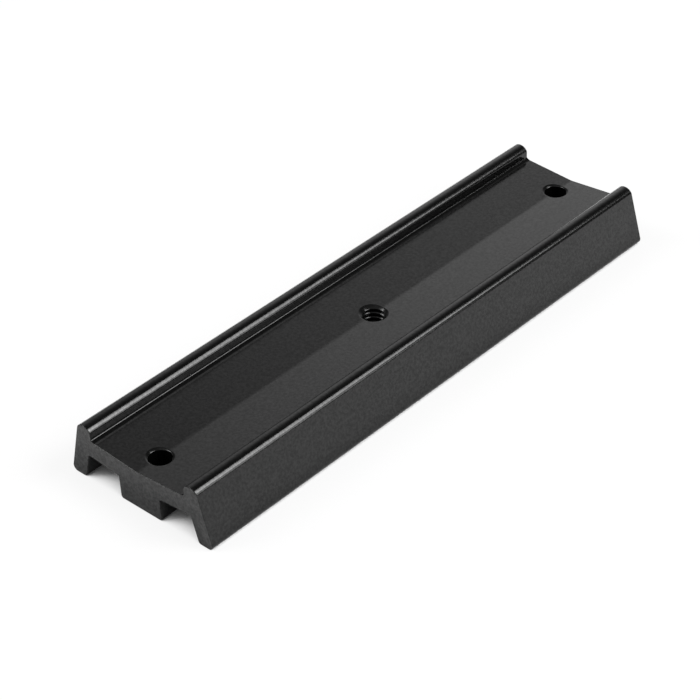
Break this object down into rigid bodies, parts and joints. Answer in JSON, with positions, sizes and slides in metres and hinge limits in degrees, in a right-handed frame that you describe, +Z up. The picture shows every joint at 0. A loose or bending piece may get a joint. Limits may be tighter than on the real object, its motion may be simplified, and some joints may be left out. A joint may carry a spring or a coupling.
{
  "type": "dovetail bar",
  "caption": "Short black anodised dovetail bar with leaning flanks, a shallow V channel between two low ribs, a tapped camera hole and plain screw holes, for seating optics in a saddle.",
  "frame": {"origin": "below the middle of the bar, on the plane that its feet and keel stand on", "axes": "+X along the bar, +Y across it from flank to flank, +Z up from the feet to the ribs"},
  "size_m": [0.15, 0.0432, 0.0145],
  "materials": {
    "black_anodised_aluminium": "satin black anodised over fine extrusion lines"
  },
  "bodies": {
    "root": {"dovetail_bar": "black_anodised_aluminium"}
  },
  "joints": []
}
